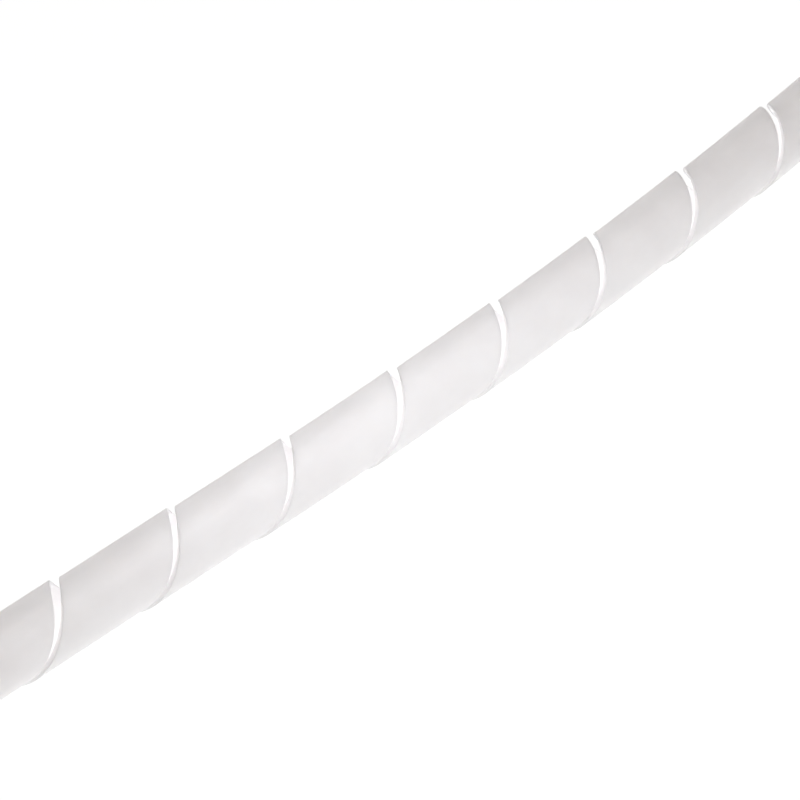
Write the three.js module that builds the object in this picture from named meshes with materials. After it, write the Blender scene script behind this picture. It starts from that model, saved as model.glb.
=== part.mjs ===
// Spiral cable wrap: one length of natural polyethylene tube, slit along a left-hand helix from end
// to end, so that it is a single curled band. It lies on a level surface, straight from the first
// cut end and then bending gently to the left, as tube that came off a roll does.
import * as THREE from 'three';
import { mergeVertices } from 'three/addons/utils/BufferGeometryUtils.js';

// Driving dimensions, in millimetres
const OUTER_DIAMETER = 12;
const WALL = 1;
const PITCH = 25; // along the tube, from one turn of the slit to the next
const SLIT_WIDTH = 1.8; // along the tube, between two neighbouring turns of the band
const LENGTH = 500; // along the centre line, from cut end to cut end
const STRAIGHT_RUN = 220; // of that length, before the bend starts
const BEND_RADIUS = 1130; // to the centre line

// Angles round the tube, in degrees from its left side over the top
const SLIT_START_ANGLE = 80; // where the middle of the slit meets the first cut end
const FACET_ANGLE = 15; // one flat facet of the tube's wall
const FLOOR_FACET_ANGLE = 270; // a facet lies flat on the surface below
const LEAST_FACET_SHARE = 0.2; // a facet narrower than this share is joined to its neighbour

const MILKY_WHITE = 0xe9e8e5;

const OUTER_RADIUS = OUTER_DIAMETER / 2;
const INNER_RADIUS = OUTER_RADIUS - WALL;
const TURNS = LENGTH / PITCH;
const HALF_SLIT_TURNS = SLIT_WIDTH / 2 / PITCH;

// A point of the tube: so far along its centre line, at an angle round it, at a radius from it.
function onTube(along, angle, radius) {
  const bend = Math.max(0, along - STRAIGHT_RUN) / BEND_RADIUS;
  const left = new THREE.Vector3(-Math.sin(bend), Math.cos(bend), 0);
  const point = new THREE.Vector3(
    Math.min(along, STRAIGHT_RUN) + BEND_RADIUS * Math.sin(bend),
    BEND_RADIUS * (1 - Math.cos(bend)),
    0,
  );
  point.addScaledVector(left, radius * Math.cos(angle));
  point.z += radius * Math.sin(angle);
  return point;
}

// The slit winds left-handed, so its angle falls as the turns are counted along the tube.
function angleAtTurn(turn) {
  return THREE.MathUtils.degToRad(SLIT_START_ANGLE) - 2 * Math.PI * turn;
}

// The band's two slit edges at a turn, each cut short where the tube's end is cut square.
function bandAtTurn(turn) {
  const upperEdge = turn * PITCH - SLIT_WIDTH / 2;
  const lowerEdge = (turn - 1) * PITCH + SLIT_WIDTH / 2;
  return {
    from: THREE.MathUtils.clamp(lowerEdge, 0, LENGTH),
    to: THREE.MathUtils.clamp(upperEdge, 0, LENGTH),
  };
}

// The turns at which the band gets a row of vertices: its four corners, which are the pointed tip
// and the full-width corner at each end, and every joint between two facets.
function bandStations() {
  const corners = [HALF_SLIT_TURNS, 1 - HALF_SLIT_TURNS, TURNS + HALF_SLIT_TURNS, TURNS + 1 - HALF_SLIT_TURNS];
  const facetTurn = FACET_ANGLE / 360;
  const firstJoint = (SLIT_START_ANGLE - FLOOR_FACET_ANGLE) / 360 + facetTurn / 2;
  const firstTurn = corners[0];
  const lastTurn = corners[corners.length - 1];
  const stations = [...corners];
  const skipped = Math.floor((firstTurn - firstJoint) / facetTurn);
  for (let turn = firstJoint + skipped * facetTurn; turn < lastTurn; turn += facetTurn) {
    const clear = corners.every((corner) => Math.abs(corner - turn) > LEAST_FACET_SHARE * facetTurn);
    if (clear && turn > firstTurn) stations.push(turn);
  }
  return stations.sort((a, b) => a - b);
}

// A unit box, divided once for each station, is wound onto the tube: its width runs along the tube,
// its height round the turns and its depth through the wall. At the two tips its end faces close up
// to nothing, and those triangles are left out.
function bandGeometry() {
  const stations = bandStations();
  const steps = stations.length - 1;
  const box = new THREE.BoxGeometry(1, 1, 1, 1, steps, 1);
  box.deleteAttribute('normal');
  box.deleteAttribute('uv');
  const places = box.getAttribute('position');
  for (let i = 0; i < places.count; i += 1) {
    const turn = stations[Math.round((places.getY(i) + 0.5) * steps)];
    const band = bandAtTurn(turn);
    const along = THREE.MathUtils.lerp(band.from, band.to, places.getX(i) + 0.5);
    const radius = THREE.MathUtils.lerp(INNER_RADIUS, OUTER_RADIUS, places.getZ(i) + 0.5);
    const point = onTube(along, angleAtTurn(turn), radius);
    places.setXYZ(i, point.x, point.y, point.z);
  }
  const band = mergeVertices(box);
  const corner = band.getIndex();
  const triangles = [];
  for (let i = 0; i < corner.count; i += 3) {
    const [a, b, c] = [corner.getX(i), corner.getX(i + 1), corner.getX(i + 2)];
    if (a !== b && b !== c && c !== a) triangles.push(a, b, c);
  }
  band.setIndex(triangles);
  band.computeVertexNormals();
  return band;
}

// The origin is under the middle of the piece, on the surface that it lies on.
function spiralWrap() {
  const geometry = bandGeometry();
  geometry.computeBoundingBox();
  const { min, max } = geometry.boundingBox;
  const material = new THREE.MeshStandardMaterial({ color: MILKY_WHITE, roughness: 0.42, metalness: 0 });
  const mesh = new THREE.Mesh(geometry, material);
  mesh.name = 'spiral_wrap';
  mesh.position.set(-(min.x + max.x) / 2, -(min.y + max.y) / 2, -min.z);
  return mesh;
}

const model = new THREE.Group();
model.add(spiralWrap());

export default model;
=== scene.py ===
# Looks of the spiral cable wrap: the finely made slit tube, its milky polyethylene, a pale glowing floor,
# soft studio light and the photograph's camera. Lengths are in metres.
import math

import bpy
import numpy as np
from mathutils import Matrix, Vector


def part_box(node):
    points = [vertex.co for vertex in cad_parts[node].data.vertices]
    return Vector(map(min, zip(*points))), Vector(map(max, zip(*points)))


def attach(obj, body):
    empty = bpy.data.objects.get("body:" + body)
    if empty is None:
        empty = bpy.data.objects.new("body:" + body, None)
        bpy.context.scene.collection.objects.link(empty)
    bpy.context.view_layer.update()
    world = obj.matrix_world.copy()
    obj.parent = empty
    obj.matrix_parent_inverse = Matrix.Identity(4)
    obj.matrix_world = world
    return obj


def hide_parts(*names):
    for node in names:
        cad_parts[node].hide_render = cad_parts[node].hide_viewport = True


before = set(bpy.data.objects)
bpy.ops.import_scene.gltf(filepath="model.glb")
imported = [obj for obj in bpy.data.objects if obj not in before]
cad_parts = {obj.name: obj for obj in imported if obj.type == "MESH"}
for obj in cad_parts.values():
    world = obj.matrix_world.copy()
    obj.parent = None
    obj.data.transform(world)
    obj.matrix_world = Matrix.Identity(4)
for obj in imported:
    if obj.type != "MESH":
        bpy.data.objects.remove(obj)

MM = 0.001

# The wrap's sizes, as in the CAD model
OUTER_RADIUS = 6 * MM
WALL = 1 * MM
PITCH = 25 * MM
SLIT_WIDTH = 1.8 * MM
LENGTH = 500 * MM
STRAIGHT_RUN = 220 * MM
BEND_RADIUS = 1130 * MM
SLIT_START_ANGLE = math.radians(80)

# How finely the band is divided, its rounded edges, and its pointed ends
STATION_ANGLE = math.radians(3)
FACE_DIVISIONS = 6
CORNER_DIVISIONS = 3
OUTER_EDGE_RADIUS = 0.1 * MM
INNER_EDGE_RADIUS = 0.08 * MM
LARGEST_EDGE_SHARE = 0.3  # of the band's width, where it is narrow
SUPPORT_WIDTH = 0.3 * MM  # between a rounded edge and the next line of vertices
LARGEST_SUPPORT_SHARE = 0.15
TIP_WIDTH = 0.12 * MM

# The knife's wander: its reach, and the share and radians a turn of its slow and its quick swing
SLIT_WANDER = 0.06 * MM
SLOW_SWING = (0.6, 2.1)
QUICK_SWING = (0.4, 5.3)
NEAR_EDGE_PHASE = 0.4
FAR_EDGE_PHASE = 1.9

# How the wrap lies: the slit is pinched for part of one turn, it closes towards the right underside, and
# each turn's far edge lies a little farther to the upper left than its near edge
PINCH = 0.35 * MM
PINCHED_TURN = 8.1
PINCHED_SHARE = 0.55
CLOSING = 1.0 * MM
CLOSING_ANGLE = math.radians(221)
CLOSING_SHARPNESS = 3
TURN_SHIFT = 0.45 * MM
SHIFT_ANGLE = math.radians(41)

# The photograph's camera: it looks down on a point near the middle of the wrap's length
VIEW_ALONG = 250 * MM
VIEW_PAST_AXIS = 1.66 * MM
VIEW_AZIMUTH = math.radians(-43.95)
VIEW_ELEVATION = math.radians(39.9)
VIEW_DISTANCE = 802 * MM
VIEW_SPAN = 133.7 * MM  # what the picture's width covers at that distance
SENSOR_WIDTH = 36.0  # in Blender's own unit, millimetres
CLIP_START = 0.05
CLIP_END = 60.0

# The light: a glowing floor, a dim room with a bright horizon, a wide soft light from straight above,
# a small soft light over the middle of the view, and faint lights in the bore, which keep it white
FLOOR_SIZE = 30.0
FLOOR_TONE = 0.25
FLOOR_ROUGHNESS = 0.9
FLOOR_GLOW = 0.88
ROOM_COLOUR = (1.0, 0.965, 0.935)
ROOM_GLOW = 0.05
HORIZON_GLOW = 0.92
HORIZON_TOP = math.sin(math.radians(5))
HORIZON_FADE = math.sin(math.radians(7))
TOP_LIGHT = 1.22
TOP_LIGHT_ANGLE = math.radians(60)
POOL_COLOUR = (0.930, 0.957, 1.0)
POOL_POWER = 0.040
POOL_ALONG = 245 * MM
POOL_SIZE = 60 * MM
POOL_REACH = 100 * MM
POOL_ELEVATION = math.radians(65)
BORE_COLOUR = (0.945, 1.0, 0.965)
BORE_POWER = 0.0184  # for each metre
BORE_LIGHT_STEP = 10 * MM
BORE_LIGHT_RADIUS = 1.5 * MM
LIGHT_BOUNCES = 16

# The plastic: how light bends and scatters in it, and its colour where it is hazier or clearer, and the
# painted shade in the slit on the faces that the knife cut
REFRACTION = 1.51
SCATTER_DEPTH = 2.5 * MM
SCATTER_TINT = (1.0, 0.97, 0.94)
HAZY_COLOUR = (0.866, 0.847, 0.855)
CLEAR_COLOUR = (0.907, 0.891, 0.901)
# The faces that the knife cut are greyer: painted shade in the slit between neighbouring turns
SLIT_SHADE_COLOUR = (0.825, 0.811, 0.819)
CUT_FADE = (0.02 * MM, 0.1 * MM)  # how far from the edge the look of a cut starts to fade, and is gone

# The plastic's patterns: cells a metre along the tube and round it, and how detailed they are
DIE_LINES = (30, 2600, 3)
WAVINESS = (180, 420, 1)
HAZE = (75, 110, 3)
SPECKS = (900, 1100, 2)
SCORING = (500, 5200, 3)
HAZE_CRISPNESS = 0.55
NOISE_RANGE = (0.3, 0.7)  # the part of a pattern's values that counts
SPECK_RANGE = (0.4, 0.75)

# How deep the patterns stand, and how rough they make the skin and the cut faces
WAVINESS_DEPTH = 0.03 * MM
DIE_LINE_DEPTH = 0.011 * MM
SCORING_DEPTH = 0.02 * MM
SKIN_ROUGHNESS = (0.46, 0.54)
SPECK_ROUGHNESS = 0.08
CUT_ROUGHNESS = 0.16

CAD_NODE = "spiral_wrap"


def centre_line(along):
    """Points of the centre line in its own plane, and the direction to its left, for distances along it."""
    bend = np.maximum(0.0, along - STRAIGHT_RUN) / BEND_RADIUS
    x = np.minimum(along, STRAIGHT_RUN) + BEND_RADIUS * np.sin(bend)
    y = BEND_RADIUS * (1 - np.cos(bend))
    return x, y, -np.sin(bend), np.cos(bend)


def tube_point(along, angle, radius):
    """Points of the tube as the rows of an array, with its first cut end at the origin."""
    x, y, left_x, left_y = centre_line(along)
    sideways = radius * np.cos(angle)
    return np.stack([x + sideways * left_x, y + sideways * left_y, radius * np.sin(angle)], axis=-1)


def tube_centre(along, shift):
    """A place on the centre line of the wrap where it lies."""
    x, y, _, _ = centre_line(np.array(along))
    return Vector((x + shift[0], y + shift[1], shift[2]))


def slit_wander(turn, phase):
    """The knife's small wander along the tube, smooth and repeatable."""
    slow_share, slow_pace = SLOW_SWING
    quick_share, quick_pace = QUICK_SWING
    slow = slow_share * math.sin(slow_pace * turn + phase)
    quick = quick_share * math.sin(quick_pace * turn + 2 * phase)
    return SLIT_WANDER * (slow + quick)


def pinch(turn):
    """How much the slit is closed up at a turn."""
    return PINCH * math.exp(-(((turn - PINCHED_TURN) / PINCHED_SHARE) ** 2))


def closing(angle):
    """How much the slit is closed up at an angle round the tube."""
    return CLOSING * ((1 + math.cos(angle - CLOSING_ANGLE)) / 2) ** CLOSING_SHARPNESS


def rounded_corner(across, height, radius, start):
    """A quarter circle about a centre, from the angle start."""
    angles = start + np.linspace(0, math.pi / 2, CORNER_DIVISIONS + 1)
    return across + radius * np.cos(angles), height + radius * np.sin(angles)


def flat_side(start, end, height):
    """Points of one of the band's broad sides."""
    return np.linspace(start, end, FACE_DIVISIONS + 1), np.full(FACE_DIVISIONS + 1, height)


def band_section(width):
    """The band's section, anticlockwise: distances across it and heights above the bore."""
    inner = min(INNER_EDGE_RADIUS, LARGEST_EDGE_SHARE * width)
    outer = min(OUTER_EDGE_RADIUS, LARGEST_EDGE_SHARE * width)
    support = min(SUPPORT_WIDTH, LARGEST_SUPPORT_SHARE * width)
    stretches = [
        rounded_corner(inner, inner, inner, math.pi),
        flat_side(inner + support, width - inner - support, 0.0),
        rounded_corner(width - inner, inner, inner, 1.5 * math.pi),
        rounded_corner(width - outer, WALL - outer, outer, 0.0),
        flat_side(width - outer - support, outer + support, WALL),
        rounded_corner(outer, WALL - outer, outer, 0.5 * math.pi),
    ]
    return np.concatenate(stretches, axis=1)


def band_stations():
    """The turns at which the band gets a section, from its first pointed tip to its last."""
    half_slit = SLIT_WIDTH / 2 / PITCH
    tip = TIP_WIDTH / PITCH
    turns = LENGTH / PITCH
    corners = [half_slit + tip, 1 - half_slit, turns + half_slit, turns + 1 - half_slit - tip]
    step = STATION_ANGLE / (2 * math.pi)
    pieces = []
    for start, end in zip(corners[:-1], corners[1:]):
        count = max(2, round((end - start) / step))
        pieces.append(np.linspace(start, end, count, endpoint=False))
    return np.concatenate(pieces + [np.array(corners[-1:])])


def band_faces(stations, per_row):
    """The faces between neighbouring sections, and one over each end."""
    faces = []
    for row in range(stations - 1):
        for i in range(per_row):
            a = row * per_row + i
            b = row * per_row + (i + 1) % per_row
            faces.append((a, a + per_row, b + per_row, b))
    faces.append(tuple(range(per_row)))
    last = (stations - 1) * per_row
    faces.append(tuple(range(last + per_row - 1, last - 1, -1)))
    return faces


def band_mesh():
    """The curled band as vertices and faces, with each vertex's place in the tube before it was bent,
    and its distance from the nearest cut edge."""
    turns = band_stations()
    rows, unbent_places, cut_distances = [], [], []
    for turn in turns:
        angle = SLIT_START_ANGLE - 2 * math.pi * turn
        near_edge = (turn - 1) * PITCH + SLIT_WIDTH / 2 + slit_wander(turn - 1, NEAR_EDGE_PHASE)
        near_edge -= pinch(turn - 1) + closing(angle)
        far_edge = turn * PITCH - SLIT_WIDTH / 2 + slit_wander(turn, FAR_EDGE_PHASE)
        low = max(near_edge, 0.0)
        high = min(far_edge, LENGTH)
        across, height = band_section(high - low)
        share = (low + across - near_edge) / (far_edge - near_edge)
        shifted = TURN_SHIFT * math.cos(angle - SHIFT_ANGLE) * (share - 0.5)
        radius = OUTER_RADIUS - WALL + height + shifted
        rows.append(tube_point(low + across, angle, radius))
        unbent = [low + across, radius * math.cos(angle), radius * math.sin(angle)]
        unbent_places.append(np.stack(unbent, axis=-1))
        cut_distances.append(np.minimum(across, high - low - across))
    faces = band_faces(len(rows), len(rows[0]))
    return np.concatenate(rows), faces, np.concatenate(unbent_places), np.concatenate(cut_distances)


def settle(vertices):
    """The band's points moved to where the CAD model lies, centred on the origin and on the floor, and
    how far they were moved."""
    low, high = vertices.min(axis=0), vertices.max(axis=0)
    node_low, node_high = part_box(CAD_NODE)
    middle = np.array((node_low + node_high) / 2)
    shift = middle - (low + high) / 2
    shift[2] = node_low.z - low[2]
    return vertices + shift, shift


def make_band():
    """The band as one smooth-shaded object, with the attributes that its material reads."""
    vertices, faces, places, distances = band_mesh()
    vertices, shift = settle(vertices)
    mesh = bpy.data.meshes.new("curled_band")
    mesh.from_pydata(vertices.tolist(), [], faces)
    mesh.update()
    for polygon in mesh.polygons:
        polygon.use_smooth = True
    unbent = mesh.attributes.new("unbent_place", "FLOAT_VECTOR", "POINT")
    unbent.data.foreach_set("vector", places.astype(np.float32).ravel())
    from_cut = mesh.attributes.new("from_cut", "FLOAT", "POINT")
    from_cut.data.foreach_set("value", distances.astype(np.float32))
    band = bpy.data.objects.new("curled_band", mesh)
    bpy.context.scene.collection.objects.link(band)
    return band, shift


def make_camera(shift):
    """The photograph's camera, at its distance and angle from the wrap."""
    forward = Vector((-math.sin(VIEW_AZIMUTH), math.cos(VIEW_AZIMUTH), 0.0))
    target = tube_centre(VIEW_ALONG, shift) + VIEW_PAST_AXIS * forward
    back = -forward * math.cos(VIEW_ELEVATION) + Vector((0, 0, math.sin(VIEW_ELEVATION)))
    data = bpy.data.cameras.new("photo_camera")
    data.sensor_width = SENSOR_WIDTH
    data.lens = SENSOR_WIDTH * VIEW_DISTANCE / VIEW_SPAN
    data.clip_start = CLIP_START
    data.clip_end = CLIP_END
    camera = bpy.data.objects.new("photo_camera", data)
    camera.location = target + back * VIEW_DISTANCE
    camera.rotation_mode = "QUATERNION"
    camera.rotation_quaternion = (-back).to_track_quat("-Z", "Y")
    bpy.context.scene.collection.objects.link(camera)
    bpy.context.scene.camera = camera


class Graph:
    """Adds nodes to a material's tree and links them, so that the materials read as short lists."""

    def __init__(self, tree):
        self.nodes = tree.nodes
        self.links = tree.links

    def node(self, kind, **settings):
        made = self.nodes.new(kind)
        for name, value in settings.items():
            setattr(made, name, value)
        return made

    def feed(self, source, target):
        self.links.new(source, target)

    def stretched_noise(self, place, pattern, crispness=0.5):
        """Noise with the pattern's cells a metre along the tube and round it, and its detail."""
        along, round_tube, detail = pattern
        stretch = self.node("ShaderNodeVectorMath", operation="MULTIPLY")
        stretch.inputs[1].default_value = (along, round_tube, round_tube)
        self.feed(place, stretch.inputs[0])
        noise = self.node("ShaderNodeTexNoise")
        noise.inputs["Scale"].default_value = 1
        noise.inputs["Detail"].default_value = detail
        noise.inputs["Roughness"].default_value = crispness
        self.feed(stretch.outputs[0], noise.inputs["Vector"])
        return noise.outputs["Fac"]

    def remap(self, value, low, high, to_low, to_high):
        """A value carried smoothly from one range to another."""
        made = self.node("ShaderNodeMapRange", interpolation_type="SMOOTHSTEP")
        for name, number in zip(("From Min", "From Max", "To Min", "To Max"), (low, high, to_low, to_high)):
            made.inputs[name].default_value = number
        self.feed(value, made.inputs["Value"])
        return made.outputs["Result"]

    def mix(self, share, first, second):
        """A colour between two, each of which is a colour or another node's output."""
        made = self.node("ShaderNodeMix", data_type="RGBA")
        self.feed(share, made.inputs["Factor"])
        colour_inputs = [socket for socket in made.inputs if socket.type == "RGBA"]
        for socket, colour in zip(colour_inputs, (first, second)):
            if isinstance(colour, tuple):
                socket.default_value = (*colour, 1)
            else:
                self.feed(colour, socket)
        return next(socket for socket in made.outputs if socket.type == "RGBA")

    def maths(self, operation, first, second):
        """Two outputs added, multiplied or the like."""
        made = self.node("ShaderNodeMath", operation=operation)
        self.feed(first, made.inputs[0])
        self.feed(second, made.inputs[1])
        return made.outputs[0]

    def bump(self, height, depth, under=None):
        """A relief of so many metres from its lowest to its highest, over the one under it."""
        made = self.node("ShaderNodeBump")
        made.inputs["Strength"].default_value = 1
        made.inputs["Distance"].default_value = depth
        self.feed(height, made.inputs["Height"])
        if under is not None:
            self.feed(under, made.inputs["Normal"])
        return made.outputs["Normal"]


def plastic_material():
    """Natural polyethylene: milky and translucent, with the die's fine lines along the tube, a faint
    haze and waviness, and faces that the knife left finely scored, greyer there as painted shade in the
    slit."""
    material = bpy.data.materials.new("milky_polyethylene")
    material.use_nodes = True
    graph = Graph(material.node_tree)
    shader = graph.nodes["Principled BSDF"]
    shader.inputs["IOR"].default_value = REFRACTION
    shader.inputs["Subsurface Weight"].default_value = 1.0
    shader.inputs["Subsurface Radius"].default_value = SCATTER_TINT
    shader.inputs["Subsurface Scale"].default_value = SCATTER_DEPTH
    place = graph.node("ShaderNodeAttribute", attribute_name="unbent_place").outputs["Vector"]
    from_cut = graph.node("ShaderNodeAttribute", attribute_name="from_cut").outputs["Fac"]

    die_lines = graph.stretched_noise(place, DIE_LINES)
    waviness = graph.stretched_noise(place, WAVINESS)
    haze = graph.stretched_noise(place, HAZE, HAZE_CRISPNESS)
    specks = graph.stretched_noise(place, SPECKS)
    scoring = graph.stretched_noise(place, SCORING)

    on_cut = graph.remap(from_cut, *CUT_FADE, 1, 0)
    skin = graph.mix(graph.remap(haze, *NOISE_RANGE, 0, 1), HAZY_COLOUR, CLEAR_COLOUR)
    # The cut faces get the painted shade of the slit; the haze is the plastic's own uneven tone
    graph.feed(graph.mix(on_cut, skin, SLIT_SHADE_COLOUR), shader.inputs["Base Color"])

    lined = graph.remap(die_lines, *NOISE_RANGE, *SKIN_ROUGHNESS)
    satin = graph.maths("ADD", lined, graph.remap(specks, *SPECK_RANGE, 0, SPECK_ROUGHNESS))
    rough = graph.maths("ADD", satin, graph.remap(on_cut, 0, 1, 0, CUT_ROUGHNESS))
    graph.feed(rough, shader.inputs["Roughness"])

    relief = graph.bump(waviness, WAVINESS_DEPTH)
    relief = graph.bump(die_lines, DIE_LINE_DEPTH, relief)
    relief = graph.bump(graph.maths("MULTIPLY", scoring, on_cut), SCORING_DEPTH, relief)
    graph.feed(relief, shader.inputs["Normal"])
    return material


def make_floor():
    """A pale floor that glows, so that it is white in the picture and the wrap throws no shadow on it."""
    bpy.ops.mesh.primitive_plane_add(size=FLOOR_SIZE, location=(0, 0, 0))
    floor = bpy.context.object
    floor.name = "floor"
    material = bpy.data.materials.new("pale_floor")
    material.use_nodes = True
    shader = material.node_tree.nodes["Principled BSDF"]
    shader.inputs["Base Color"].default_value = (FLOOR_TONE, FLOOR_TONE, FLOOR_TONE, 1)
    shader.inputs["Roughness"].default_value = FLOOR_ROUGHNESS
    shader.inputs["Emission Color"].default_value = (1, 1, 1, 1)
    shader.inputs["Emission Strength"].default_value = FLOOR_GLOW
    floor.data.materials.append(material)


def make_world():
    """A dim room whose horizon is as bright as the floor, so that low views have a white background."""
    world = bpy.data.worlds.new("studio")
    world.use_nodes = True
    graph = Graph(world.node_tree)
    background = graph.nodes["Background"]
    background.inputs["Color"].default_value = (*ROOM_COLOUR, 1)
    direction = graph.node("ShaderNodeTexCoord").outputs["Generated"]
    split = graph.node("ShaderNodeSeparateXYZ")
    graph.feed(direction, split.inputs[0])
    glow = graph.remap(split.outputs["Z"], HORIZON_TOP, HORIZON_FADE, HORIZON_GLOW, ROOM_GLOW)
    graph.feed(glow, background.inputs["Strength"])
    bpy.context.scene.world = world


def add_light(name, kind, place, direction, colour=(1, 1, 1), **settings):
    """A light that shines along a direction and isn't itself seen."""
    data = bpy.data.lights.new(name, kind)
    data.color = colour
    for setting, value in settings.items():
        setattr(data, setting, value)
    light = bpy.data.objects.new(name, data)
    light.location = place
    light.rotation_mode = "QUATERNION"
    light.rotation_quaternion = direction.to_track_quat("-Z", "Y")
    light.visible_camera = False
    bpy.context.scene.collection.objects.link(light)


def make_lights(shift):
    """The light from above, the pool of light over the middle of the view, and the lights in the bore."""
    down = Vector((0, 0, -1))
    add_light("top", "SUN", (0, 0, 1), down, ROOM_COLOUR, energy=TOP_LIGHT, angle=TOP_LIGHT_ANGLE)
    aim = tube_centre(POOL_ALONG, shift)
    towards = Vector((0, -math.cos(POOL_ELEVATION), math.sin(POOL_ELEVATION)))
    place = aim + POOL_REACH * towards
    add_light("pool", "AREA", place, -towards, POOL_COLOUR, shape="DISK", size=POOL_SIZE, energy=POOL_POWER)
    power = BORE_POWER * BORE_LIGHT_STEP
    for i in range(round(LENGTH / BORE_LIGHT_STEP)):
        name = "bore_%02d" % i
        centre = tube_centre((i + 0.5) * BORE_LIGHT_STEP, shift)
        add_light(name, "POINT", centre, down, BORE_COLOUR, energy=power, shadow_soft_size=BORE_LIGHT_RADIUS)


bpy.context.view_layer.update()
band, shift = make_band()
make_camera(shift)
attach(band, "root")
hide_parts(CAD_NODE)
band.data.materials.append(plastic_material())
make_floor()
make_world()
make_lights(shift)
bpy.context.scene.view_settings.view_transform = "Standard"
bpy.context.scene.cycles.diffuse_bounces = LIGHT_BOUNCES
bpy.context.scene.cycles.max_bounces = LIGHT_BOUNCES
